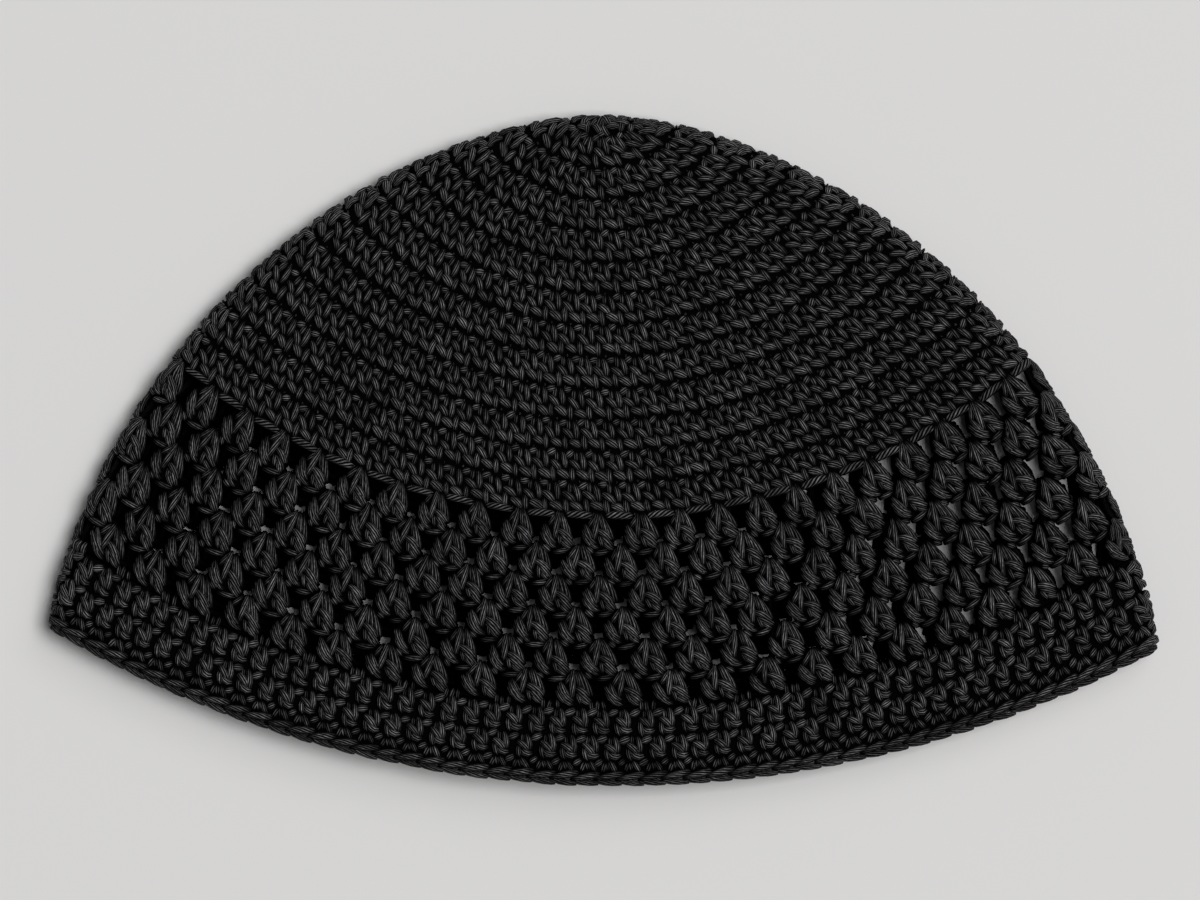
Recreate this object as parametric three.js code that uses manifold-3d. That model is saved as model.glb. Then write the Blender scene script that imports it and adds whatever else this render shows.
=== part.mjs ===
// A crocheted kufi that lies folded flat: dense crown, openwork band, firm rim and chain edge.
// Millimetres. +X runs along the mouth, +Y towards the apex of the crown, +Z up.
// A place on the wall is given by three values:
// down, the length along the wall from the apex; lap, the way round, 0 at the left fold,
// 1 at the middle of the upper layer, 2 at the right fold, 3 at the middle of the lower layer;
// and out, the distance outwards from the middle of the wall.
import * as THREE from "three";
import { mergeVertices } from "three/addons/utils/BufferGeometryUtils.js";
import Module from "manifold-3d";

// The folded outline, at the middle of the wall
const FOLD_HALF_WIDTH = 135.9; // semi-axes of the slightly squared ellipse that both side folds follow
const FOLD_HALF_DEPTH = 157.5;
const FOLD_POWER = 0.563; // 0.5 would be a plain ellipse
const LEVEL_DEPTH = 260.5; // depth at which a round would run straight from fold to fold
const END_SWING = 0.8; // ends of the rounds lie a little high near the apex, a little low further down
const SWING_DEPTH = 130;
const MOUTH_SKEW = 2.2; // how much lower the mouth ends at the right fold than at its middle
const SKEW_POWER = 4;
const BACK_RISE = 4; // how much nearer the apex the rounds of the lower layer lie
const BACK_RISE_START = 40; // depth where that starts; it is full at the end of the crown
const BACK_RISE_POWER = 6; // and fades out only near the folds

// The wall and how it lies
const WALL = 3.2; // thickness of the crochet
const FOLD_RADIUS = 4; // bend of the folds, at the middle of the wall
const FOLD_SHARE = 0.7; // largest share of a small round that its bends take up
const LOFT = 2.6; // extra height of the upper layer in the middle of the mouth
const SEAM = 0.3; // gap between one zone and the next

// Zones along the wall from the apex, with the height of each crochet round in them
const APEX_ROUND = 6.04;
const CROWN_ROUND = 7.54;
const CROWN_ROUNDS = 13; // the apex round is the first of them
const BAND_ROUND = 7.56;
const BAND_ROUNDS = 6;
const BAND_FOOT = 1.46; // foot of the last clusters, where the rim is worked on
const RIM_ROUNDS = [6.5, 5.9, 2.5];
const EDGE_WIDTH = 3.4;
const CROWN_FURROW = 0.7; // depth of the groove between two rounds
const RIM_FURROW = 0.9;
const RIB_CREST = [0.28, 0.74]; // where the crest of a round starts and ends, as shares of its height

// Gaps of the openwork, brick fashion, and the outline of one gap:
// across as a share of its column from the middle, down as a share of its round
const GAP_COLUMNS = 20;
const GAP_PHASE = 0.25;
const GAP_OUTLINE = [
  { across: -0.27, down: 0.16 },
  { across: 0.27, down: 0.16 },
  { across: 0.24, down: 0.52 },
  { across: 0, down: 0.86 },
  { across: -0.24, down: 0.52 },
];
const GAP_CUT = WALL / 2 + 0.9; // how far a cut reaches each way from the middle of the wall

// Facets: steps round each quarter of a lap, strips down the walls, sides of the edge chain
const BEND_STEPS = 3;
const FLAT_STEPS = 7;
const BAND_STRIPS = 3;
const ROUNDS_PER_INNER_STRIP = 2;
const EDGE_SIDES = 8;

const crownRounds = [APEX_ROUND, ...Array(CROWN_ROUNDS - 1).fill(CROWN_ROUND)];
const total = (heights) => heights.reduce((sum, height) => sum + height, 0);
const crownEnd = total(crownRounds);
const bandEnd = crownEnd + BAND_ROUND * BAND_ROUNDS + BAND_FOOT;
const rimEnd = bandEnd + total(RIM_ROUNDS);
const mouth = rimEnd + EDGE_WIDTH;

const wasm = await Module();
wasm.setup();

// Depth below the apex seen from above. The wall turns over the nose of the fold, then lies flat.
function planDepth(down) {
  const angle = Math.min(down / FOLD_RADIUS, Math.PI / 2);
  return FOLD_RADIUS * (1 - Math.cos(angle)) + Math.max(0, down - (FOLD_RADIUS * Math.PI) / 2);
}

// Seen from above a round is an arc that sags between the two folds.
function roundArc(depth) {
  const wave = Math.sin(2 * Math.PI * Math.min(depth / SWING_DEPTH, 1));
  const swing = ((END_SWING * depth) / (depth + 20)) * wave;
  const endDepth = depth * Math.sqrt(depth / LEVEL_DEPTH) - swing;
  const halfChord = FOLD_HALF_WIDTH * (1 - (1 - endDepth / FOLD_HALF_DEPTH) ** 2) ** FOLD_POWER;
  const sag = depth - endDepth;
  const radius = (halfChord ** 2 + sag ** 2) / (2 * sag);
  const halfAngle = 2 * Math.atan2(sag, halfChord);
  return { radius, halfAngle, halfLength: radius * halfAngle };
}

// A quarter of a round is half a fold's bend and half of a layer.
function quarterRound(down) {
  const halfLength = roundArc(planDepth(down)).halfLength;
  const bendRadius = Math.min(FOLD_RADIUS, FOLD_SHARE * halfLength);
  const bend = (bendRadius * Math.PI) / 2;
  const flat = halfLength - bendRadius;
  return { halfLength, bendRadius, bend, flat, length: bend + flat };
}

// A point at the middle of the wall.
function midPoint(down, lap) {
  const quarter = quarterRound(down);
  const index = Math.floor(lap) & 3;
  const share = lap - Math.floor(lap);
  const upper = index < 2;
  const right = index === 1 || index === 2;
  const fromFold = (index % 2 === 0 ? share : 1 - share) * quarter.length;

  const angle = Math.min(fromFold / quarter.bendRadius, Math.PI / 2);
  const inset = quarter.bendRadius * (1 - Math.cos(angle)) + Math.max(0, fromFold - quarter.bend);
  const across = (right ? 1 : -1) * (1 - inset / quarter.halfLength);
  const towardsMiddle = 1 - across ** 2;
  const towardsMouth = down / mouth;

  const skew = MOUTH_SKEW * across * towardsMouth ** SKEW_POWER;
  const risen = BACK_RISE * THREE.MathUtils.smoothstep(down, BACK_RISE_START, crownEnd);
  const backRise = upper ? 0 : risen * (1 - across ** BACK_RISE_POWER);
  const depth = planDepth(down) + skew - backRise;
  const arc = roundArc(depth);
  const turn = across * arc.halfAngle;

  const nose = Math.sin(Math.min(down / FOLD_RADIUS, Math.PI / 2));
  const rise = FOLD_RADIUS * nose * Math.sin(angle);
  const loft = LOFT * towardsMiddle ** 2 * (1 - (1 - towardsMouth) ** 2);
  const height = WALL / 2 + FOLD_RADIUS + (upper ? rise + loft : -rise);
  return new THREE.Vector3(
    arc.radius * Math.sin(turn),
    arc.radius * (1 - Math.cos(turn)) - depth,
    height,
  );
}

// A point at the distance out from the middle of the wall, along its outward normal.
function wallPoint(down, lap, out) {
  if (down === 0) {
    return new THREE.Vector3(0, out, WALL / 2 + FOLD_RADIUS);
  }
  const step = 1e-4;
  const along = midPoint(down + step, lap).sub(midPoint(down - step, lap));
  const around = midPoint(down, lap + step).sub(midPoint(down, lap - step));
  const normal = along.cross(around).normalize();
  return midPoint(down, lap).addScaledVector(normal, out);
}

// Laps of the facets' corners on the round at down: even in angle round the folds, even along the layers.
function facetLaps(down) {
  const quarter = quarterRound(down);
  const shares = [];
  for (let i = 0; i < BEND_STEPS; i++) {
    shares.push(((i / BEND_STEPS) * quarter.bend) / quarter.length);
  }
  for (let i = 0; i < FLAT_STEPS; i++) {
    shares.push((quarter.bend + (i / FLAT_STEPS) * quarter.flat) / quarter.length);
  }
  const mirrored = shares.slice(1).reverse().map((share) => 2 - share);
  const layer = [...shares, 1, ...mirrored];
  return [...layer, ...layer.map((lap) => lap + 2)];
}

// The side that the cap lies on is pressed flat, so its grooves fade out there.
function isPressed(lap) {
  return Math.floor(lap) >= 2;
}

// Wraps a profile of { down, out, groove } round the cap. A profile that starts and ends at the
// apex closes at those poles, and any other closes on itself.
function wrapProfile(profile) {
  const corners = [];
  const rings = profile.map((place) => {
    const laps = place.down === 0 ? [0] : facetLaps(place.down);
    return laps.map((lap) => {
      const out = place.out - (isPressed(lap) ? 0 : place.groove);
      corners.push(wallPoint(place.down, lap, out));
      return corners.length - 1;
    });
  });

  const triangles = [];
  rings.forEach((ring, k) => {
    const next = rings[(k + 1) % rings.length];
    const count = Math.max(ring.length, next.length);
    for (let i = 0; i < count; i++) {
      const j = (i + 1) % count;
      if (next.length > 1) {
        triangles.push(ring[i % ring.length], next[i], next[j]);
      }
      if (ring.length > 1) {
        triangles.push(ring[i], next[j % next.length], ring[j]);
      }
    }
  });
  return meshGeometry(corners, triangles);
}

function meshGeometry(corners, triangles) {
  const geometry = new THREE.BufferGeometry().setFromPoints(corners);
  geometry.setIndex(triangles);
  return geometry;
}

// Outer and inner face of a zone: ribbed outside with one rib a round, plain inside.
function ribbedProfile(start, heights, furrow) {
  const outer = [];
  const inner = [];
  let top = start;
  heights.forEach((height, round) => {
    const opensZone = round === 0 && start > 0;
    const down = opensZone ? start + SEAM / 2 : top;
    outer.push({ down, out: WALL / 2, groove: down === 0 ? 0 : furrow });
    for (const share of RIB_CREST) {
      outer.push({ down: top + share * height, out: WALL / 2, groove: 0 });
    }
    if (round % ROUNDS_PER_INNER_STRIP === 0) {
      inner.unshift({ down, out: -WALL / 2, groove: 0 });
    }
    top += height;
  });
  outer.push({ down: top - SEAM / 2, out: WALL / 2, groove: furrow });
  inner.unshift({ down: top - SEAM / 2, out: -WALL / 2, groove: 0 });
  return [...outer, ...inner];
}

// Outer and inner face of the openwork, plain until its gaps are cut.
function plainProfile(start, end, strips) {
  const places = [];
  for (let i = 0; i <= strips; i++) {
    places.push(THREE.MathUtils.lerp(start + SEAM / 2, end - SEAM / 2, i / strips));
  }
  const outer = places.map((down) => ({ down, out: WALL / 2, groove: 0 }));
  const inner = places.map((down) => ({ down, out: -WALL / 2, groove: 0 }));
  return [...outer, ...inner.reverse()];
}

// The chain edge is an oval roll, as thick as the wall, with a flat facet above and below.
function edgeProfile(start, width) {
  const middle = start + width / 2;
  const stretch = 1 / Math.cos(Math.PI / EDGE_SIDES);
  const halfWidth = ((width - SEAM) / 2) * stretch;
  const halfThickness = (WALL / 2) * stretch;
  const profile = [];
  for (let i = 0; i < EDGE_SIDES; i++) {
    const angle = ((i + 0.5) / EDGE_SIDES) * 2 * Math.PI;
    const down = middle - halfWidth * Math.cos(angle);
    profile.push({ down, out: halfThickness * Math.sin(angle), groove: 0 });
  }
  return profile;
}

function toSolid(geometry) {
  const merged = mergeVertices(geometry, 1e-4);
  return new wasm.Manifold(
    new wasm.Mesh({
      numProp: 3,
      vertProperties: new Float32Array(merged.attributes.position.array),
      triVerts: new Uint32Array(merged.index.array),
    }),
  );
}

function toGeometry(solid) {
  const mesh = solid.getMesh();
  const geometry = new THREE.BufferGeometry();
  geometry.setAttribute("position", new THREE.BufferAttribute(mesh.vertProperties, 3));
  geometry.setIndex(new THREE.BufferAttribute(mesh.triVerts, 1));
  return geometry;
}

// A block that follows the wall's bend and cuts one gap of the openwork.
function gapCutter(round, column) {
  const shift = column + GAP_PHASE + (round % 2) / 2;
  const sides = GAP_OUTLINE.length;
  const corners = [];
  for (const out of [GAP_CUT, -GAP_CUT]) {
    for (const point of GAP_OUTLINE) {
      const down = crownEnd + (round + point.down) * BAND_ROUND;
      const lap = ((shift + point.across) / GAP_COLUMNS) * 4;
      corners.push(wallPoint(down, lap, out));
    }
  }
  const triangles = [];
  for (let i = 0; i < sides; i++) {
    const j = (i + 1) % sides;
    triangles.push(i, j, j + sides, i, j + sides, i + sides);
    if (i > 1) {
      triangles.push(0, i, i - 1, sides, sides + i - 1, sides + i);
    }
  }
  return toSolid(meshGeometry(corners, triangles));
}

function openworkGeometry() {
  let band = toSolid(wrapProfile(plainProfile(crownEnd, bandEnd, BAND_STRIPS)));
  for (let round = 0; round < BAND_ROUNDS; round++) {
    for (let column = 0; column < GAP_COLUMNS; column++) {
      band = band.subtract(gapCutter(round, column));
    }
  }
  return toGeometry(band);
}

const kufi = new THREE.Group();

function addPiece(name, geometry) {
  const yarn = new THREE.MeshStandardMaterial({ color: "#1c1c1e", roughness: 0.75, metalness: 0 });
  const piece = new THREE.Mesh(geometry, yarn);
  piece.name = name;
  kufi.add(piece);
}

addPiece("crown", wrapProfile(ribbedProfile(0, crownRounds, CROWN_FURROW)));
addPiece("openwork_band", openworkGeometry());
addPiece("rim_band", wrapProfile(ribbedProfile(bandEnd, RIM_ROUNDS, RIM_FURROW)));
addPiece("edge_chain", wrapProfile(edgeProfile(rimEnd, EDGE_WIDTH)));

// The origin is under the middle of the cap.
const box = new THREE.Box3().setFromObject(kufi);
kufi.position.set(-(box.min.x + box.max.x) / 2, -(box.min.y + box.max.y) / 2, -box.min.z);

export default kufi;
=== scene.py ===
import math

import bmesh
import bpy
import numpy as np
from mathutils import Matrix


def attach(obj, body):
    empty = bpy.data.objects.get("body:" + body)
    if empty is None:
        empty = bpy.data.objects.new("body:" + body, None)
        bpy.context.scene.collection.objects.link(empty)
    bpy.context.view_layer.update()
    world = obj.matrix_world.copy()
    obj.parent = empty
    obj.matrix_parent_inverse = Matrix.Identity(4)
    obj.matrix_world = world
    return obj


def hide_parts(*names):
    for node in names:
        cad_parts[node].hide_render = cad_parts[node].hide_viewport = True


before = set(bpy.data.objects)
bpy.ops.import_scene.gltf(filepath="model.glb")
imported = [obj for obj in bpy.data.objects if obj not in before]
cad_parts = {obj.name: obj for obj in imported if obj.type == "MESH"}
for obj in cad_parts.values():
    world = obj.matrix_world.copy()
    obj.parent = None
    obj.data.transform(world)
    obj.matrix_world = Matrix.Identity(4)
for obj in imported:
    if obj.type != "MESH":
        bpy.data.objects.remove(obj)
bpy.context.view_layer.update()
print("frame loaded:", ", ".join(sorted(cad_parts)))

# How the folded cap lies, in mm. Its walls in the frame follow the same outline.
capLie = {
    "foldHalfWidth": 135.9,  # curve of the two side folds, at mid wall: a slightly squared ellipse
    "foldHalfDepth": 157.5,
    "foldPower": 0.563,
    "levelDepth": 260.5,  # depth at which a round would run straight from fold to fold
    "endSwing": 0.8,  # the ends of the crown's rounds lie a little high near the apex, low further down
    "swingStart": 20.0,  # depth at which half of that is reached
    "swingDepth": 130.0,
    "mouthSkew": 2.2,
    "skewPower": 4,
    "backRise": 4.0,  # rounds of the lower layer lie this much nearer the apex
    "backRiseFrom": 40.0,
    "backRisePower": 6,
    "backRiseEase": 0.75,  # share of that rise lost towards the right fold
    "easeReach": (0.1, 0.75),  # from the middle to the right, as shares of the half width
    "wall": 3.2,
    "foldRadius": 4.0,
    "foldShare": 0.7,
    "loft": 2.6,
}

# Heights of the crochet rounds from the apex to the mouth, in mm
roundHeights = {
    "crown": [6.04] + [7.54] * 12,
    "band": [7.56] * 6,
    "foot": [1.46],
    "rim": [6.5, 5.9, 2.5],
    "edge": [3.4],
}
crownEnd = sum(roundHeights["crown"])
bandEnd = crownEnd + sum(roundHeights["band"] + roundHeights["foot"])
rimEnd = bandEnd + sum(roundHeights["rim"])
mouthEnd = rimEnd + sum(roundHeights["edge"])

mm = 0.001
apexTip = max((v.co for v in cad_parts["crown"].data.vertices), key=lambda co: co.y)
apexX = apexTip.x / mm
apexY = apexTip.y / mm - capLie["wall"] / 2
draw = np.random.RandomState(11)


# Where things are on the wall: down is mm along it from the apex, lap goes 0 to 4 round it,
# from the left fold over the upper layer to the right fold and back under

def ramp(values, low, high):
    share = np.clip((values - low) / (high - low), 0, 1)
    return share * share * (3 - 2 * share)


def planDepth(down):
    radius = capLie["foldRadius"]
    angle = np.clip(down / radius, 0, math.pi / 2)
    return radius * (1 - np.cos(angle)) + np.maximum(0, down - radius * math.pi / 2)


def roundArc(depth):
    depth = np.maximum(depth, 1e-4)
    swing = capLie["endSwing"] * depth / (depth + capLie["swingStart"])
    swing = swing * np.sin(2 * math.pi * np.minimum(depth / capLie["swingDepth"], 1))
    endDepth = depth * np.sqrt(depth / capLie["levelDepth"]) - swing
    squared = 1 - (1 - endDepth / capLie["foldHalfDepth"]) ** 2
    halfChord = capLie["foldHalfWidth"] * squared ** capLie["foldPower"]
    sag = depth - endDepth
    return (halfChord ** 2 + sag ** 2) / (2 * sag), 2 * np.arctan2(sag, halfChord)


def quarterRound(down):
    arcRadius, halfAngle = roundArc(planDepth(down))
    halfLength = arcRadius * halfAngle
    bendRadius = np.minimum(capLie["foldRadius"], capLie["foldShare"] * halfLength)
    bend = bendRadius * math.pi / 2
    return halfLength, bendRadius, bend, bend + halfLength - bendRadius


def midWall(down, lap):
    down, lap = np.broadcast_arrays(np.maximum(down, 1e-3), lap)
    halfLength, bendRadius, bend, quarter = quarterRound(down)
    index = np.floor(lap).astype(int) % 4
    share = lap - np.floor(lap)
    upper = index < 2
    side = np.where((index == 1) | (index == 2), 1.0, -1.0)
    fromFold = np.where(index % 2 == 0, share, 1 - share) * quarter

    angle = np.minimum(fromFold / bendRadius, math.pi / 2)
    inset = bendRadius * (1 - np.cos(angle)) + np.maximum(0, fromFold - bend)
    across = side * (1 - inset / halfLength)
    towardsMiddle = 1 - across ** 2
    towardsMouth = down / mouthEnd

    skew = capLie["mouthSkew"] * across * towardsMouth ** capLie["skewPower"]
    rise = capLie["backRise"] * ramp(down, capLie["backRiseFrom"], crownEnd)
    rise = rise * (1 - across ** capLie["backRisePower"])
    rise = rise * (1 - capLie["backRiseEase"] * ramp(across, *capLie["easeReach"]))
    depth = planDepth(down) + skew - np.where(upper, 0, rise)
    arcRadius, halfAngle = roundArc(depth)
    turn = across * halfAngle

    nose = np.sin(np.minimum(down / capLie["foldRadius"], math.pi / 2))
    apart = capLie["foldRadius"] * nose * np.sin(angle)
    loft = capLie["loft"] * towardsMiddle ** 2 * (1 - (1 - towardsMouth) ** 2)
    height = capLie["wall"] / 2 + capLie["foldRadius"] + np.where(upper, apart + loft, -apart)
    x = apexX + arcRadius * np.sin(turn)
    y = apexY + arcRadius * (1 - np.cos(turn)) - depth
    return np.stack([x, y, height], -1)


def unit(vectors):
    return vectors / np.maximum(np.linalg.norm(vectors, axis=-1, keepdims=True), 1e-9)


def onWall(down, lap, out):
    step = 1e-3
    along = midWall(down + step, lap) - midWall(down - step, lap)
    around = midWall(down, lap + step) - midWall(down, lap - step)
    normal = unit(np.cross(along, around))
    return midWall(down, lap) + normal * out[..., None], normal


# Strands: short lengths of cord that show between two dives into the work

strandMake = {
    "rings": 6,
    "sides": 6,
    "pliesPerMm": 5.2,  # ply lines round a cord, for each mm it is thick
    "fewestPlies": 4,
    "twist": 0.03,  # turns for each mm along the cord
    "mapSeeds": 40,  # starting places on the cord's pattern, so that neighbouring strands differ
    "mapStep": 3.7,
    "dive": 0.8,  # mm that the ends of a strand go down into the work
    "diveSharp": 3.0,
    "endShrink": 0.32,
    "tipReach": 0.6,  # in radii, how far a tip stands past the last ring
    "flatten": 0.88,  # a pressed cord is lower than it is wide
    "leastHeight": 0.04,  # mm above the floor, where the underside is pressed flat
    "thickVary": 0.05,
    "liftVary": 0.06,
    "endVary": 0.02,
    "litVary": 0.08,
    "downVary": 0.5,  # a stitch strays this share as far up and down as across
    "buried": 0.55,  # mm out from mid wall below which a cord is painted fully dark, as shade in the work
    "clear": 1.75,  # mm out at which it is painted fully lit, with no painted shade
    "foldOpens": 0.7,  # how much the painted shade lifts where the work bends over a fold and opens to the light
    "foldReach": (0.5, 1.2),  # how far from the fold that goes, in lengths of its bend
}

# Loops of cord that run all the way round inside the work, painted mostly in shade: their lit share is cut
# to a quarter
loopMake = {
    "sides": 4,
    "stepsPerWave": 3,
    "waver": 0.05,
    "twist": 0.08,
    "lit": 0.25,
}


def roundCells(down, height, count, phase, stray):
    return {
        "down": np.full(count, down),
        "height": np.full(count, height),
        "lap": 4 * (np.arange(count) + phase) / count,
        "pitch": np.full(count, 4 / count),
        "shiftAcross": draw.normal(0, stray, count),
        "shiftDown": draw.normal(0, stray * strandMake["downVary"], count),
    }


def sideFaces(rings, sides, closed):
    quads = []
    for k in range(rings if closed else rings - 1):
        for j in range(sides):
            here, ahead = k * sides, (k + 1) % rings * sides
            nextSide = (j + 1) % sides
            quads.append((here + j, ahead + j, ahead + nextSide, here + nextSide))
    return np.array(quads)


def tubeRings(points, normals, acrossRadius, outRadius, sides):
    tangent = unit(np.gradient(points, axis=1))
    acrossAxis = unit(np.cross(tangent, normals))
    outAxis = np.cross(acrossAxis, tangent)
    turn = 2 * math.pi * np.arange(sides) / sides
    across = acrossRadius[..., None, None] * np.cos(turn)[:, None] * acrossAxis[:, :, None, :]
    out = outRadius[..., None, None] * np.sin(turn)[:, None] * outAxis[:, :, None, :]
    return points[:, :, None, :] + across + out, tangent


def bendShare(down, lap):
    halfLength, bendRadius, bend, quarter = quarterRound(down)
    fromFold = (1 - np.abs(np.mod(lap, 2) - 1)) * quarter
    first, last = strandMake["foldReach"]
    return 1 - ramp(fromFold, first * bend, last * bend)


# painted shade: a share from 0 to 1 by how far a cord stands out of the work, more lit near the folds; it
# darkens the cord's colour and sheen
def paintedLightShare(down, lap, out, outRadius, sides):
    turn = 2 * math.pi * np.arange(sides) / sides
    reach = np.abs(out[..., None] + outRadius[..., None] * np.sin(turn))
    opened = reach + strandMake["foldOpens"] * bendShare(down, lap)[..., None]
    return ramp(opened, strandMake["buried"], strandMake["clear"])


def plyCount(thick):
    return max(strandMake["fewestPlies"], round(thick * strandMake["pliesPerMm"]))


def layStrand(cells, strand):
    count = len(cells["down"])
    made = {**strandMake, **strand}  # what a strand doesn't say for itself is as strandMake says
    rings, sides = made["rings"], made["sides"]
    t = (1 - np.cos(np.linspace(0, math.pi, rings)))[None, :] / 2
    start = np.array(made["start"])[None, :] + draw.normal(0, strandMake["endVary"], (count, 2))
    end = np.array(made["end"])[None, :] + draw.normal(0, strandMake["endVary"], (count, 2))
    bend = (start + end) / 2 + 2 * np.array(made.get("bow", (0, 0)))[None, :]
    path = [
        (1 - t) ** 2 * start[:, i, None] + 2 * t * (1 - t) * bend[:, i, None] + t ** 2 * end[:, i, None]
        for i in (0, 1)
    ]
    across = path[0] + cells["shiftAcross"][:, None]
    lower = path[1] + cells["shiftDown"][:, None]
    ends = np.abs(2 * t - 1) ** made["diveSharp"]
    lift = made["lift"] + draw.normal(0, strandMake["liftVary"], (count, 1))
    out = lift - made["dive"] * ends
    down = cells["down"][:, None] + lower * cells["height"][:, None]
    lap = cells["lap"][:, None] + across * cells["pitch"][:, None]
    points, normals = onWall(down, lap, out)

    radius = made["thick"] / 2 * (1 + draw.normal(0, strandMake["thickVary"], (count, 1)))
    radius = radius * (1 - made["endShrink"] * ends)
    radius = radius * (1 + made.get("taper", 0) * (2 * t - 1))
    outRadius = radius * made["flatten"]
    ring, tangent = tubeRings(points, normals, radius, outRadius, sides)
    tips = np.stack([
        points[:, 0] - tangent[:, 0] * radius[:, 0, None] * strandMake["tipReach"],
        points[:, -1] + tangent[:, -1] * radius[:, -1, None] * strandMake["tipReach"],
    ], 1)
    places = np.concatenate([ring.reshape(count, rings * sides, 3), tips], 1)
    # painted shade by how far the strand stands out of the work, held between its least and most lit
    litLeast = made.get("litLeast", 0)
    lit = np.clip(paintedLightShare(down, lap, out, outRadius, sides), litLeast, made.get("litMost", 1))
    lit = lit.reshape(count, rings * sides) * (1 + draw.normal(0, strandMake["litVary"], (count, 1)))
    lit = np.concatenate([lit, np.full((count, 2), litLeast)], 1)

    step = np.linalg.norm(np.diff(points, axis=1), axis=-1)
    length = np.concatenate([np.zeros((count, 1)), np.cumsum(step, 1)], 1)
    quads = sideFaces(rings, sides, False)
    firstTip, lastTip = rings * sides, rings * sides + 1
    lastRing = (rings - 1) * sides
    caps = [(firstTip, j, (j + 1) % sides) for j in range(sides)]
    caps += [(lastTip, lastRing + (j + 1) % sides, lastRing + j) for j in range(sides)]

    # the cord's own map: x counts plies round it and turns with its twist, y is mm along it
    plies = made.get("plies", plyCount(made["thick"]))
    seed = draw.randint(0, strandMake["mapSeeds"], count)[:, None]
    alongMap = length + seed * strandMake["mapStep"]

    def onCord(ringAt, sideAt):
        turned = sideAt / sides + made["twist"] * length[:, ringAt]
        return np.stack([plies * turned, alongMap[:, ringAt]], -1)

    side = np.tile(np.arange(sides), rings - 1)
    at = np.repeat(np.arange(rings - 1), sides)
    corners = [(at, side), (at + 1, side), (at + 1, side + 1), (at, side + 1)]
    quadMap = np.stack([onCord(ringAt, sideAt) for ringAt, sideAt in corners], 2)
    capMap = np.stack([
        np.stack([onCord(ringAt, j + shift) for shift in order], 1)
        for ringAt, order in ((0, (0.5, 0, 1)), (rings - 1, (0.5, 1, 0)))
        for j in range(sides)
    ], 1)
    return {
        "places": places,
        "lit": lit,
        "quads": quads,
        "tris": np.array(caps),
        "quadMap": quadMap,
        "triMap": capMap,
    }


def layLoop(down, spec, waves, phase):
    steps = waves * loopMake["stepsPerWave"]
    lap = 4 * np.arange(steps) / steps
    wave = 2 * math.pi * waves * lap / 4 + phase
    waver = draw.normal(0, loopMake["waver"], steps)
    waved = (spec["out"] + spec["waveOut"] * np.cos(wave))[None, :]
    downs, laps = (down + spec["waveDown"] * np.sin(wave) + waver)[None, :], lap[None, :]
    points, normals = onWall(downs, laps, waved)
    wrapped = np.concatenate([points[:, -1:], points, points[:, :1]], 1)
    wrappedNormals = np.concatenate([normals[:, -1:], normals, normals[:, :1]], 1)
    radius = np.full((1, steps + 2), spec["thick"] / 2)
    sides = loopMake["sides"]
    ring = tubeRings(wrapped, wrappedNormals, radius, radius, sides)[0][:, 1:-1]
    step = np.linalg.norm(np.diff(wrapped[0, 1:], axis=0), axis=-1)
    length = np.concatenate([[0], np.cumsum(step)])
    lit = paintedLightShare(downs, laps, waved, radius[:, 1:-1], sides)
    plies = plyCount(spec["thick"])
    side = np.tile(np.arange(sides), steps)
    at = np.repeat(np.arange(steps), sides)
    corners = [(at, side), (at + 1, side), (at + 1, side + 1), (at, side + 1)]
    quadMap = np.stack([
        np.stack([plies * (sideAt / sides + loopMake["twist"] * length[ringAt]), length[ringAt]], -1)
        for ringAt, sideAt in corners
    ], 1)[None]
    return {
        "places": ring.reshape(1, steps * sides, 3),
        # painted shade: inside loops get a quarter of the lit share, or at least their litLeast
        "lit": np.maximum(loopMake["lit"] * lit, spec.get("litLeast", 0)).reshape(1, -1),
        "quads": sideFaces(steps, sides, True),
        "tris": np.zeros((0, 3), int),
        "quadMap": quadMap,
        "triMap": np.zeros((1, 0, 3, 2)),
    }


def layLoops(down, height, spec, cords, waves):
    return [layLoop(down + height * (k + 0.5) / cords, spec, waves, math.pi * k) for k in range(cords)]


def joinStrands(name, batches, material, node):
    places, lit, quads, tris, quadMaps, triMaps = [], [], [], [], [], []
    base = 0
    for batch in batches:
        count, perStrand = batch["places"].shape[:2]
        shift = base + perStrand * np.arange(count)[:, None, None]
        places.append(batch["places"].reshape(-1, 3))
        lit.append(batch["lit"].ravel())
        quads.append((batch["quads"][None] + shift).reshape(-1, 4))
        tris.append((batch["tris"][None] + shift).reshape(-1, 3))
        quadMaps.append(batch["quadMap"].reshape(-1, 2))
        triMaps.append(batch["triMap"].reshape(-1, 2))
        base += count * perStrand
    places = np.concatenate(places) * mm
    places[:, 2] = np.maximum(places[:, 2], strandMake["leastHeight"] * mm)
    quads, tris = np.concatenate(quads), np.concatenate(tris)

    mesh = bpy.data.meshes.new(name)
    mesh.vertices.add(len(places))
    mesh.vertices.foreach_set("co", places.astype(np.float32).ravel())
    corners = np.concatenate([quads.ravel(), tris.ravel()]).astype(np.int32)
    mesh.loops.add(len(corners))
    mesh.loops.foreach_set("vertex_index", corners)
    starts = np.concatenate([np.arange(len(quads)) * 4, len(quads) * 4 + np.arange(len(tris)) * 3])
    mesh.polygons.add(len(starts))
    mesh.polygons.foreach_set("loop_start", starts.astype(np.int32))
    mesh.polygons.foreach_set("use_smooth", np.ones(len(starts), bool))
    cordMap = mesh.uv_layers.new(name="cordMap")
    cordMap.data.foreach_set("uv", np.concatenate(quadMaps + triMaps).astype(np.float32).ravel())
    # the painted shade goes to the cord material in this attribute
    litHere = mesh.attributes.new("lit", "FLOAT", "POINT")
    litHere.data.foreach_set("value", np.concatenate(lit).astype(np.float32))
    mesh.update(calc_edges=True)
    mesh.validate()
    showPiece(name, mesh, material, node)
    print(name, "triangles:", 2 * len(quads) + len(tris))


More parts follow.
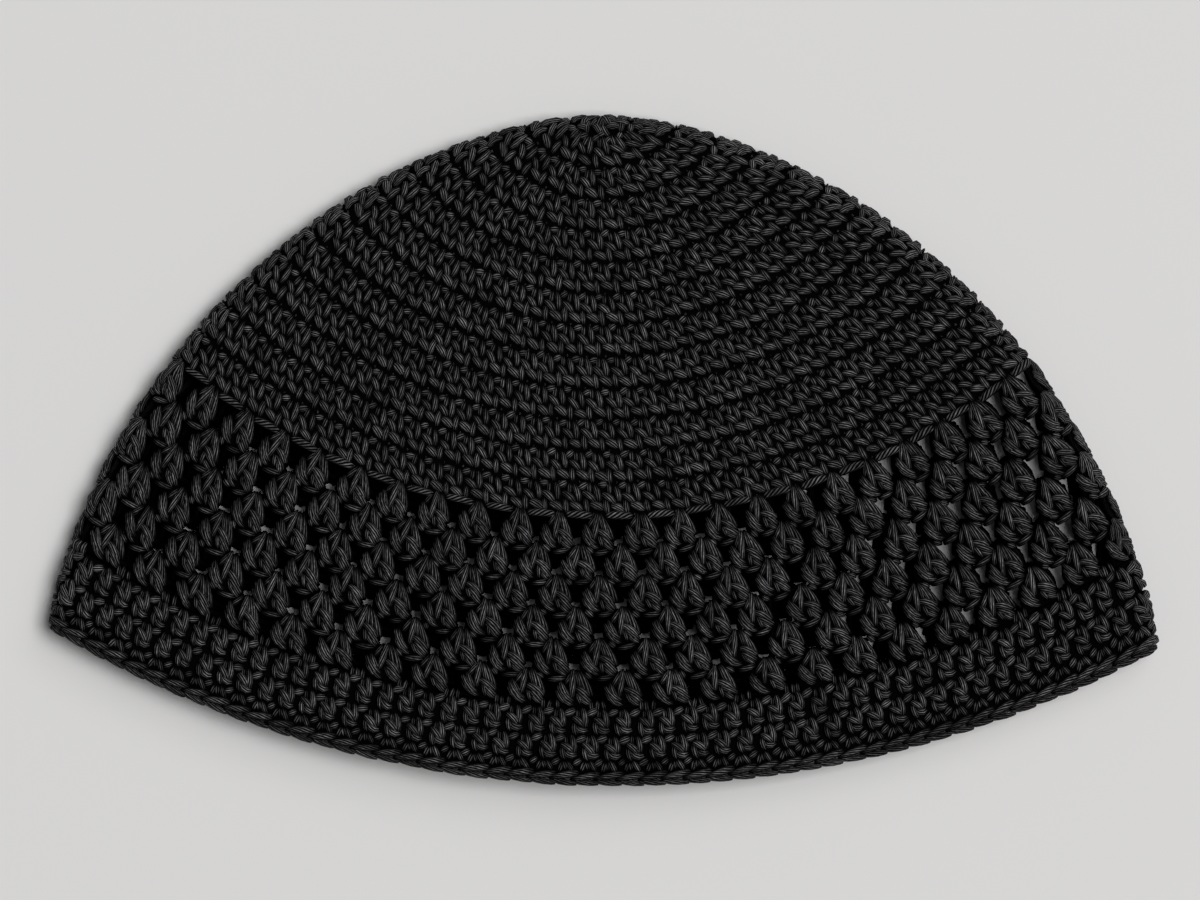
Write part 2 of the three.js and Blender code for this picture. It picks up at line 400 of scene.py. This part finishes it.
def showPiece(name, mesh, material, node):
    mesh.materials.append(material)
    piece = bpy.data.objects.new(name, mesh)
    bpy.context.scene.collection.objects.link(piece)
    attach(piece, "root")
    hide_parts(node)


# Backing: a dark sheet of cord hearts under the stitches, so that no light comes between them. Its
# near-black colour without sheen is painted shade for the inside of the work
backingMake = {
    "mergeGap": 0.02,  # mm within which the edges of the sheet are joined
    "sortAlong": (1.0, 0.7, 0.3),  # faces are put in order along this, because solidify varies their order
}


def backing(name, spec, material, node):
    shape = bmesh.new()
    bmesh.ops.create_grid(shape, x_segments=spec["around"], y_segments=spec["rows"], size=0.5)
    spots = np.array([vertex.co for vertex in shape.verts]) + 0.5
    down = spec["from"] + (spec["to"] - spec["from"]) * spots[:, 1]
    places = onWall(down, 4 * spots[:, 0], np.full(len(spots), spec["out"]))[0]
    for vertex, place in zip(shape.verts, places * mm):
        vertex.co = place
    bmesh.ops.remove_doubles(shape, verts=shape.verts, dist=backingMake["mergeGap"] * mm)
    bmesh.ops.recalc_face_normals(shape, faces=shape.faces)
    bmesh.ops.solidify(shape, geom=shape.faces[:], thickness=spec["thick"] * mm)
    bmesh.ops.recalc_face_normals(shape, faces=shape.faces)
    shape.faces.sort(key=lambda face: face.calc_center_median().dot(backingMake["sortAlong"]))
    for face in shape.faces:
        face.smooth = True
    mesh = bpy.data.meshes.new(name)
    shape.to_mesh(mesh)
    shape.free()
    showPiece(name, mesh, material, node)
    print(name, "faces:", len(mesh.polygons))


# Black cord: fine plies along each strand, with painted shade between them and where a cord lies deep in
# the work, and a soft sheen that this painted shade also dims

cordFinish = {
    # the first colour is painted shade, used in the grooves between plies and where a cord lies deep in the
    # work; the second is the colour of a lit ply top
    "groove": (0.0012, 0.0012, 0.0013, 1),
    "crest": (0.25, 0.247, 0.256, 1),
    "roughness": 0.45,
    "specular": 0.2,
    "specularUsual": 1 / 3,  # share of it that stands for the whole cord where the pattern isn't read
    "depth": 2.0,  # how fast the cord falls off into black, which sharpens the painted shade
    "plySharp": 2.8,
    "plyDepth": 0.0002,
    "plyStrength": 0.6,
    "fibreScale": (5.0, 1.1, 1),  # fine fibres: across the plies, then along the cord
    "fibreDetail": 3,
    "fibreGain": 1.6,
    "fibreLess": -0.1,
    "fibreRelief": 0.35,
    "unevenScale": (0.9, 0.35, 1),  # some plies catch more light than others
    "unevenDetail": 1,
    "unevenLeast": 0.5,
    "mottleScale": 180,  # patches about as big as a stitch
    "mottleDetail": 2,
    "mottleGain": 0.7,
    "mottleLeast": 0.65,
    "heartRoughness": 0.9,
}


def blackCord():
    material = bpy.data.materials.new("blackCord")
    material.use_nodes = True
    nodes, links = material.node_tree.nodes, material.node_tree.links
    shader = nodes["Principled BSDF"]
    cordMap = nodes.new("ShaderNodeUVMap")
    cordMap.uv_map = "cordMap"
    split = nodes.new("ShaderNodeSeparateXYZ")
    links.new(cordMap.outputs["UV"], split.inputs["Vector"])

    def sums(kind, first, second=None):
        node = nodes.new("ShaderNodeMath")
        node.operation = kind
        for socket, value in zip(node.inputs, (first, second)):
            if isinstance(value, (int, float)):
                socket.default_value = value
            elif value is not None:
                links.new(value, socket)
        return node.outputs["Value"]

    # each ply is a rounded ridge, with a sharp line between it and the next that is painted dark, as shade
    # in the groove
    ply = sums("ABSOLUTE", sums("SINE", sums("MULTIPLY", split.outputs["X"], math.pi)))
    ply = sums("POWER", ply, cordFinish["plySharp"])
    # painted shade: the lit attribute darkens the colour of cords that lie deep in the work
    lit = nodes.new("ShaderNodeAttribute")
    lit.attribute_name = "lit"

    def alongCord(scale, detail):
        stretch = nodes.new("ShaderNodeMapping")
        stretch.inputs["Scale"].default_value = scale
        links.new(cordMap.outputs["UV"], stretch.inputs["Vector"])
        noise = nodes.new("ShaderNodeTexNoise")
        noise.inputs["Scale"].default_value = 1
        noise.inputs["Detail"].default_value = detail
        links.new(stretch.outputs["Vector"], noise.inputs["Vector"])
        return noise.outputs["Fac"]

    fibre = alongCord(cordFinish["fibreScale"], cordFinish["fibreDetail"])
    uneven = alongCord(cordFinish["unevenScale"], cordFinish["unevenDetail"])

    place = nodes.new("ShaderNodeTexCoord")
    mottle = nodes.new("ShaderNodeTexNoise")
    mottle.inputs["Scale"].default_value = cordFinish["mottleScale"]
    mottle.inputs["Detail"].default_value = cordFinish["mottleDetail"]
    links.new(place.outputs["Object"], mottle.inputs["Vector"])

    streak = sums("ADD", sums("MULTIPLY", fibre, cordFinish["fibreGain"]), cordFinish["fibreLess"])
    streak = sums("MULTIPLY", sums("MAXIMUM", streak, 0), sums("ADD", uneven, cordFinish["unevenLeast"]))
    patch = sums("MULTIPLY", mottle.outputs["Fac"], cordFinish["mottleGain"])
    patch = sums("ADD", patch, cordFinish["mottleLeast"])
    # the cord's own tone (fibres, uneven plies, mottle) times painted shade in the ply grooves and deep in
    # the work
    toneAndShade = sums("MULTIPLY", sums("MULTIPLY", ply, streak), patch)
    toneAndShade = sums("MULTIPLY", toneAndShade, lit.outputs["Fac"])
    toneAndShade = sums("POWER", toneAndShade, cordFinish["depth"])
    tone = nodes.new("ShaderNodeMix")
    tone.data_type = "RGBA"
    tone.inputs["A"].default_value = cordFinish["groove"]
    tone.inputs["B"].default_value = cordFinish["crest"]
    links.new(toneAndShade, tone.inputs["Factor"])
    links.new(tone.outputs["Result"], shader.inputs["Base Color"])

    relief = nodes.new("ShaderNodeBump")
    relief.inputs["Strength"].default_value = cordFinish["plyStrength"]
    relief.inputs["Distance"].default_value = cordFinish["plyDepth"]
    links.new(sums("ADD", ply, sums("MULTIPLY", fibre, cordFinish["fibreRelief"])), relief.inputs["Height"])
    links.new(relief.outputs["Normal"], shader.inputs["Normal"])
    shader.inputs["Roughness"].default_value = cordFinish["roughness"]
    gloss = shader.inputs["Specular IOR Level"]
    gloss.default_value = cordFinish["specular"] * cordFinish["specularUsual"]
    # the sheen follows the same painted shade, so cords painted dark lose their sheen too
    links.new(sums("MULTIPLY", toneAndShade, cordFinish["specular"]), gloss)
    return material


# painted shade: a near-black material without sheen, for cord hearts that lie in the dark of the work
def paintedShadeCord():
    material = bpy.data.materials.new("cordPaintedInShade")
    material.use_nodes = True
    shader = material.node_tree.nodes["Principled BSDF"]
    shader.inputs["Base Color"].default_value = cordFinish["groove"]
    shader.inputs["Roughness"].default_value = cordFinish["heartRoughness"]
    shader.inputs["Specular IOR Level"].default_value = 0.0
    return material


cord = blackCord()
paintedShadeHeartCord = paintedShadeCord()

# Crown stitch: start and end are (across, down) as shares of the stitch, lift is mm out from mid wall
crownStitch = {
    "pitch": 4.38,
    "most": 92,
    "stray": 0.025,
    "upperRounds": 9,  # rounds in the first of the crown's two meshes
    "strands": [
        {"start": (0.87, 0.17), "end": (1.13, 0.07), "lift": 0.95, "thick": 1.85, "dive": 0.5},
        {"start": (0.29, 0.06), "end": (0.35, 0.38), "lift": 0.9, "thick": 1.35},
        {"start": (0.56, 0.08), "end": (0.82, 0.60), "bow": (0.06, 0), "lift": 1.05, "thick": 1.65},
        {"start": (0.01, 0.365), "end": (0.61, 0.635), "bow": (0.02, -0.03), "lift": 1.0, "thick": 1.75,
         "dive": 0.65},
        {"start": (0.13, 0.56), "end": (0.27, 0.99), "bow": (-0.03, 0), "lift": 1.0, "thick": 1.65},
        {"start": (0.44, 0.71), "end": (1.01, 0.87), "bow": (0.02, -0.02), "lift": 0.95, "thick": 2.3,
         "dive": 0.6},
        {"start": (0.52, 1.0), "end": (0.62, 1.03), "lift": 1.25, "thick": 0.7, "rings": 3, "sides": 4},
    ],
    "apexCount": 8,
    "apex": [
        {"start": (0.44, 0.08), "end": (0.56, 0.64), "bow": (0.06, 0), "lift": 1.0, "thick": 1.6,
         "taper": 0.3},
        {"start": (0.0, 0.34), "end": (0.10, 0.70), "lift": 0.9, "thick": 1.45},
        {"start": (-0.12, 0.64), "end": (0.20, 0.98), "bow": (-0.05, 0), "lift": 1.0, "thick": 1.6},
        {"start": (0.26, 0.66), "end": (0.86, 0.88), "bow": (0.02, -0.05), "lift": 0.95, "thick": 1.9,
         "dive": 0.6},
        {"start": (0.70, 0.98), "end": (1.02, 0.84), "lift": 0.95, "thick": 1.6, "dive": 0.5},
    ],
    "inside": {"cords": 3, "out": -0.75, "thick": 2.3, "waveDown": 0.3, "waveOut": 0.15},
    "heart": {"from": 0.0, "to": 97.2, "out": 0.7, "thick": 1.1, "around": 120, "rows": 30},
}


def crownCounts():
    counts = []
    down = 0
    for height in roundHeights["crown"]:
        around = 4 * float(quarterRound(np.array(down + height / 2))[3])
        counts.append(min(crownStitch["most"], round(around / crownStitch["pitch"])))
        down += height
    return [crownStitch["apexCount"]] + counts[1:]


def makeCrown():
    counts = crownCounts()
    print("crown stitches by round:", counts)
    upper, lower, inside = [], [], []
    down = 0
    for i, (height, count) in enumerate(zip(roundHeights["crown"], counts)):
        cells = roundCells(down, height, count, draw.uniform(0, 1), crownStitch["stray"])
        rounds = upper if i < crownStitch["upperRounds"] else lower
        for strand in crownStitch["strands"] if i else crownStitch["apex"]:
            rounds.append(layStrand(cells, strand))
        inside += layLoops(down, height, crownStitch["inside"], crownStitch["inside"]["cords"], count)
        down += height
    joinStrands("crown_upper_rounds", upper, cord, "crown")
    joinStrands("crown_lower_rounds", lower, cord, "crown")
    joinStrands("crown_inside", inside, cord, "crown")
    backing("crown_heart", crownStitch["heart"], paintedShadeHeartCord, "crown")


# Openwork cluster, from its pinch at the top; the strands fan out and end in a chained foot
cluster = {
    "count": 46,
    "phase": 0.25,
    "stray": 0.02,
    "lastShare": 0.95,  # the last round of clusters is pulled shorter by the rim
    "strands": [
        {"start": (-0.05, 0.02), "end": (-0.20, 0.45), "lift": 0.95, "thick": 1.35, "taper": 0.2,
         "sides": 5},
        {"start": (-0.01, -0.03), "end": (-0.06, 0.84), "lift": 1.25, "thick": 1.55},
        {"start": (0.04, -0.02), "end": (0.145, 0.56), "lift": 1.05, "thick": 1.15, "taper": 0.2,
         "sides": 5},
        {"start": (0.06, -0.03), "end": (0.26, 0.66), "bow": (0.0, -0.01), "lift": 1.05, "thick": 1.3,
         "taper": 0.25},
        {"start": (0.08, -0.05), "end": (0.375, 0.83), "bow": (0.012, -0.02), "lift": 1.0, "thick": 1.4,
         "taper": 0.25},
        {"start": (-0.29, 0.37), "end": (-0.08, 0.86), "bow": (-0.01, 0.02), "lift": 1.05, "thick": 1.45},
        {"start": (-0.34, 0.49), "end": (-0.02, 0.98), "bow": (-0.03, 0.05), "lift": 1.15, "thick": 1.5},
        {"start": (-0.345, 0.65), "end": (-0.03, 1.10), "bow": (-0.03, 0.05), "lift": 1.05, "thick": 1.45},
        {"start": (-0.22, 0.92), "end": (0.01, 1.10), "bow": (0.0, 0.03), "lift": 1.05, "thick": 1.3,
         "sides": 5},
        {"start": (0.01, 0.55), "end": (0.35, 0.82), "bow": (0.02, -0.03), "lift": 1.2, "thick": 1.8},
        {"start": (0.05, 0.72), "end": (0.14, 1.05), "lift": 1.0, "thick": 1.35, "sides": 5},
        {"start": (0.09, 0.72), "end": (0.37, 1.0), "bow": (0.0, -0.02), "lift": 1.1, "thick": 1.6},
        {"start": (0.12, 0.88), "end": (0.33, 1.10), "bow": (0.0, 0.02), "lift": 1.05, "thick": 1.5,
         "sides": 5},
    ],
    # back strands of each cluster, painted mostly in shade by their litMost cap
    "back": [
        {"start": (-0.07, 0.02), "end": (-0.31, 1.02), "bow": (-0.10, 0), "lift": -0.8, "dive": -0.7,
         "thick": 1.7, "litMost": 0.25, "sides": 5},
        {"start": (0.0, 0.0), "end": (0.0, 1.05), "lift": -1.0, "dive": -0.7, "thick": 1.5,
         "litMost": 0.25, "rings": 5, "sides": 5},
        {"start": (0.07, 0.02), "end": (0.33, 1.02), "bow": (0.055, 0), "lift": -0.8, "dive": -0.7,
         "thick": 1.7, "litMost": 0.25, "sides": 5},
        {"start": (-0.28, 1.12), "end": (0.40, 1.10), "lift": -0.6, "dive": -0.4, "thick": 1.5,
         "litMost": 0.2, "rings": 5, "sides": 5},
    ],
    "foot": [
        {"start": (-0.27, 1.09), "end": (-0.14, 1.22), "lift": 0.95, "thick": 1.5},
        {"start": (-0.07, 1.25), "end": (0.31, 1.14), "bow": (0.02, 0.02), "lift": 0.8, "thick": 1.6},
    ],
    # heart: a flat dark cord through each cluster, painted fully in shade (litMost 0); the chain is painted
    # almost fully in shade
    "heart": {"start": (-0.01, 0.08), "end": (0.01, 1.20), "lift": 0.0, "dive": 0.0, "thick": 4.2,
              "flatten": 0.3, "endShrink": 0.8, "litMost": 0.0},
    "chain": {"start": (0.24, 1.10), "end": (0.76, 1.10), "lift": -0.4, "dive": -0.2, "thick": 1.3,
              "litMost": 0.1, "rings": 4, "sides": 4},
    # the top rope's painted light is held a little below full
    "topRope": {"start": (0.20, 0.07), "end": (0.86, 0.07), "bow": (0, -0.03), "lift": 0.85, "dive": 0.5,
                "thick": 2.3, "twist": -0.11, "plies": 7, "diveSharp": 5, "endShrink": 0.4,
                "litMost": 0.85},
    "footLoops": [
        {"start": (0.36, 0.97), "end": (0.38, 1.30), "lift": 0.9, "thick": 1.25},
        {"start": (0.48, 0.99), "end": (0.49, 1.32), "lift": 0.95, "thick": 1.25},
        {"start": (0.60, 0.97), "end": (0.62, 1.30), "lift": 0.9, "thick": 1.25},
    ],
}


# How the clusters sit unevenly on the folded band, in shares of one cluster. A reach is in laps: where a
# change starts, and where it is complete.
clusterLie = {
    "half": 0.5,  # the two layers are half a cluster off each other at the middle
    "upperStart": 0.04,
    "upperSway": 0.2,
    "swayLap": 1.33,
    "roundLag": 0.025,  # each round is off a little more than the one above, on the right
    "lagReach": (0.8, 1.6),
    "rightOff": 0.05,  # near the right fold the lower clusters lie almost right under the upper ones
    "rightReach": (2.2, 2.9),
    "leftOff": 0.08,
    "leftReach": (3.6, 4),
    "turnReach": (2, 2.12),  # over the right fold the one layer's spacing turns into the other's
    "foldNarrow": 0.1,  # clusters bent over the right fold are drawn in by this share
    "foldReach": (0.03, 0.1),
    "leftWider": 0.05,  # those on the left lie a little wider
    "leftWiderReach": (0.5, 0.95),
    "underWider": 0.12,  # and so do those of the lower layer, either side of its middle
    "underReach": (0.1, 0.4),
    "underEnd": (0.7, 0.9),
}


def clusterDrift(lap, row):
    above = np.where(lap < 2, lap, 4 - lap)
    sway = np.sin(math.pi * above / clusterLie["swayLap"])
    lag = clusterLie["roundLag"] * row * ramp(above, *clusterLie["lagReach"])
    upper = clusterLie["upperStart"] + clusterLie["upperSway"] * sway + lag
    most = clusterLie["half"] + clusterLie["rightOff"]
    offset = most * ramp(lap, *clusterLie["rightReach"]) - clusterLie["rightOff"]
    offset = offset + clusterLie["leftOff"] * ramp(lap, *clusterLie["leftReach"])
    turning = (2 * upper + most) * (1 - ramp(lap, *clusterLie["turnReach"]))
    return np.where(lap < 2, upper, offset - clusterLie["half"] - upper + turning)


def clusterWidth(lap):
    atFold = 1 - ramp(np.abs(lap - 2), *clusterLie["foldReach"])
    onLeft = 1 - ramp(lap, *clusterLie["leftWiderReach"])
    offMiddle = np.abs(lap - 3)
    under = ramp(offMiddle, *clusterLie["underReach"]) * (1 - ramp(offMiddle, *clusterLie["underEnd"]))
    wider = clusterLie["leftWider"] * onLeft + clusterLie["underWider"] * under
    return 1 - clusterLie["foldNarrow"] * atFold + wider


def makeBand():
    halves = [[], []]
    rows = len(roundHeights["band"])
    down = crownEnd
    for i, height in enumerate(roundHeights["band"]):
        reach = height * (cluster["lastShare"] if i == rows - 1 else 1)
        cells = roundCells(down, reach, cluster["count"], cluster["phase"] + (i % 2) / 2, cluster["stray"])
        cells["lap"] = cells["lap"] + clusterDrift(cells["lap"], i) * cells["pitch"]
        cells["pitch"] = cells["pitch"] * clusterWidth(cells["lap"])
        strands = cluster["strands"] + cluster["back"]
        if i < rows - 1:
            strands = strands + cluster["foot"]
        strands = strands + [cluster["heart"], cluster["chain"]]
        if i == 0:
            strands = strands + [cluster["topRope"]]
        if i == rows - 1:
            strands = strands + cluster["footLoops"]
        halves[i * 2 // rows] += [layStrand(cells, strand) for strand in strands]
        down += height
    joinStrands("band_upper_clusters", halves[0], cord, "openwork_band")
    joinStrands("band_lower_clusters", halves[1], cord, "openwork_band")


# Rim: two rounds of upright knobs, a narrow pressed round, and wavy loops inside
rimStitch = {
    "count": 105,
    "stray": 0.03,
    "knobRounds": 2,
    "knob": [
        {"start": (0.62, 0.21), "end": (0.98, 0.04), "lift": 1.0, "thick": 2.05, "dive": 0.5},
        {"start": (0.14, 0.02), "end": (0.16, 0.34), "lift": 0.85, "thick": 1.25},
        {"start": (0.34, 0.0), "end": (0.52, 0.66), "bow": (0.06, 0), "lift": 1.1, "thick": 1.75},
        {"start": (-0.07, 0.33), "end": (0.45, 0.64), "bow": (0.03, -0.02), "lift": 1.15, "thick": 1.75},
        {"start": (-0.03, 0.49), "end": (0.13, 0.94), "bow": (-0.04, 0.01), "lift": 0.95, "thick": 1.6},
        {"start": (0.10, 0.68), "end": (0.60, 0.75), "bow": (0, 0.09), "lift": 1.05, "thick": 1.8},
    ],
    "pressed": [
        {"start": (0.0, 0.36), "end": (0.26, -0.06), "lift": 0.95, "thick": 1.7, "dive": 0.5},
        {"start": (0.32, 0.98), "end": (0.44, 0.22), "lift": 0.9, "thick": 1.4},
        {"start": (0.52, 0.16), "end": (0.62, 0.80), "lift": 0.85, "thick": 1.25},
        {"start": (0.66, 0.08), "end": (0.96, 0.96), "lift": 0.9, "thick": 1.5},
    ],
    "inside": {"cords": (3, 3, 2), "out": -0.75, "thick": 1.8, "waveDown": 0.3, "waveOut": 0.2},
    "heart": {"from": 143.0, "to": 159.5, "out": 0.3, "thick": 0.7, "around": 160, "rows": 6},
}


def makeRim():
    batches = []
    down = bandEnd
    for i, height in enumerate(roundHeights["rim"]):
        cells = roundCells(down, height, rimStitch["count"], i / 2, rimStitch["stray"])
        strands = rimStitch["knob"] if i < rimStitch["knobRounds"] else rimStitch["pressed"]
        batches += [layStrand(cells, strand) for strand in strands]
        inside = rimStitch["inside"]
        batches += layLoops(down, height, inside, inside["cords"][i], rimStitch["count"])
        down += height
    joinStrands("rim_rounds", batches, cord, "rim_band")
    backing("rim_heart", rimStitch["heart"], paintedShadeHeartCord, "rim_band")


# Chain edge: a row of Vs, each tucked into the one before it, over a core loop
edgeChain = {
    "count": 105,
    "stray": 0.02,
    # litLeast keeps some painted light on the lower strand and the core loop, so their sides are not
    # painted into shade
    "strands": [
        {"start": (-0.08, 0.57), "end": (1.20, 0.15), "bow": (0.0, -0.03), "lift": 0.9, "thick": 1.75,
         "dive": 0.7, "twist": 0.06, "taper": 0.25, "diveSharp": 3.4, "litLeast": 0.2},
        {"start": (-0.06, 0.66), "end": (1.14, 0.86), "bow": (0.0, 0.05), "lift": 0.3, "thick": 1.3,
         "dive": 0.6, "twist": 0.04, "litLeast": 0.7},
    ],
    "core": {"out": -0.6, "thick": 1.9, "waveDown": 0.12, "waveOut": 0.1, "litLeast": 0.8},
}


def makeEdge():
    height = roundHeights["edge"][0]
    cells = roundCells(rimEnd, height, edgeChain["count"], 0, edgeChain["stray"])
    batches = [layStrand(cells, strand) for strand in edgeChain["strands"]]
    batches.append(layLoop(rimEnd + height / 2, edgeChain["core"], edgeChain["count"], 0))
    joinStrands("edge_chain_cord", batches, cord, "edge_chain")


makeCrown()
makeBand()
makeRim()
makeEdge()

# Floor, light and camera; the photo frame is 288 mm wide at the height of the folds
stageSet = {
    "floorSize": 4.0,
    "floorColour": (0.715, 0.708, 0.704, 1),
    "floorRoughness": 0.9,
    "floorSpecular": 0.2,
    "frameWidth": 0.288,
    "frameMiddle": (-0.00084, -0.00012),
    "frameHeight": 0.006,
    "cameraDistance": 2.5,
    "sensorWidth": 36,
    "lights": [
        {"name": "softbox", "place": (3.2, 0.2, 8.6), "size": 4.5, "power": 594.0},
        {"name": "sideFill", "place": (4.2, 3.4, 7.5), "size": 7.5, "power": 240.0},
    ],
    "worldLight": 0.13,
}


def makeFloor():
    shape = bmesh.new()
    bmesh.ops.create_grid(shape, x_segments=1, y_segments=1, size=stageSet["floorSize"] / 2)
    mesh = bpy.data.meshes.new("floor")
    shape.to_mesh(mesh)
    shape.free()
    material = bpy.data.materials.new("paleFloor")
    material.use_nodes = True
    shader = material.node_tree.nodes["Principled BSDF"]
    shader.inputs["Base Color"].default_value = stageSet["floorColour"]
    shader.inputs["Roughness"].default_value = stageSet["floorRoughness"]
    shader.inputs["Specular IOR Level"].default_value = stageSet["floorSpecular"]
    mesh.materials.append(material)
    floor = bpy.data.objects.new("floor", mesh)
    bpy.context.scene.collection.objects.link(floor)


def makeLights():
    for spec in stageSet["lights"]:
        lamp = bpy.data.lights.new(spec["name"], "AREA")
        lamp.shape = "SQUARE"
        lamp.size = spec["size"]
        lamp.energy = spec["power"]
        panel = bpy.data.objects.new(spec["name"], lamp)
        panel.location = spec["place"]
        panel.rotation_mode = "QUATERNION"
        panel.rotation_quaternion = panel.location.to_track_quat("Z", "Y")  # aimed at the cap
        bpy.context.scene.collection.objects.link(panel)
    world = bpy.data.worlds.new("studio")
    world.use_nodes = True
    sky = world.node_tree.nodes["Background"]
    sky.inputs["Color"].default_value = (1.0, 1.0, 1.0, 1)
    sky.inputs["Strength"].default_value = stageSet["worldLight"]
    bpy.context.scene.world = world


def makeCamera():
    view = bpy.data.cameras.new("overhead")
    view.sensor_width = stageSet["sensorWidth"]
    view.lens = view.sensor_width * stageSet["cameraDistance"] / stageSet["frameWidth"]
    camera = bpy.data.objects.new("overhead", view)
    camera.location = (*stageSet["frameMiddle"], stageSet["frameHeight"] + stageSet["cameraDistance"])
    bpy.context.scene.collection.objects.link(camera)
    bpy.context.scene.camera = camera
    bpy.context.scene.view_settings.view_transform = "Standard"


makeFloor()
makeLights()
makeCamera()
print("floor, light and camera set")
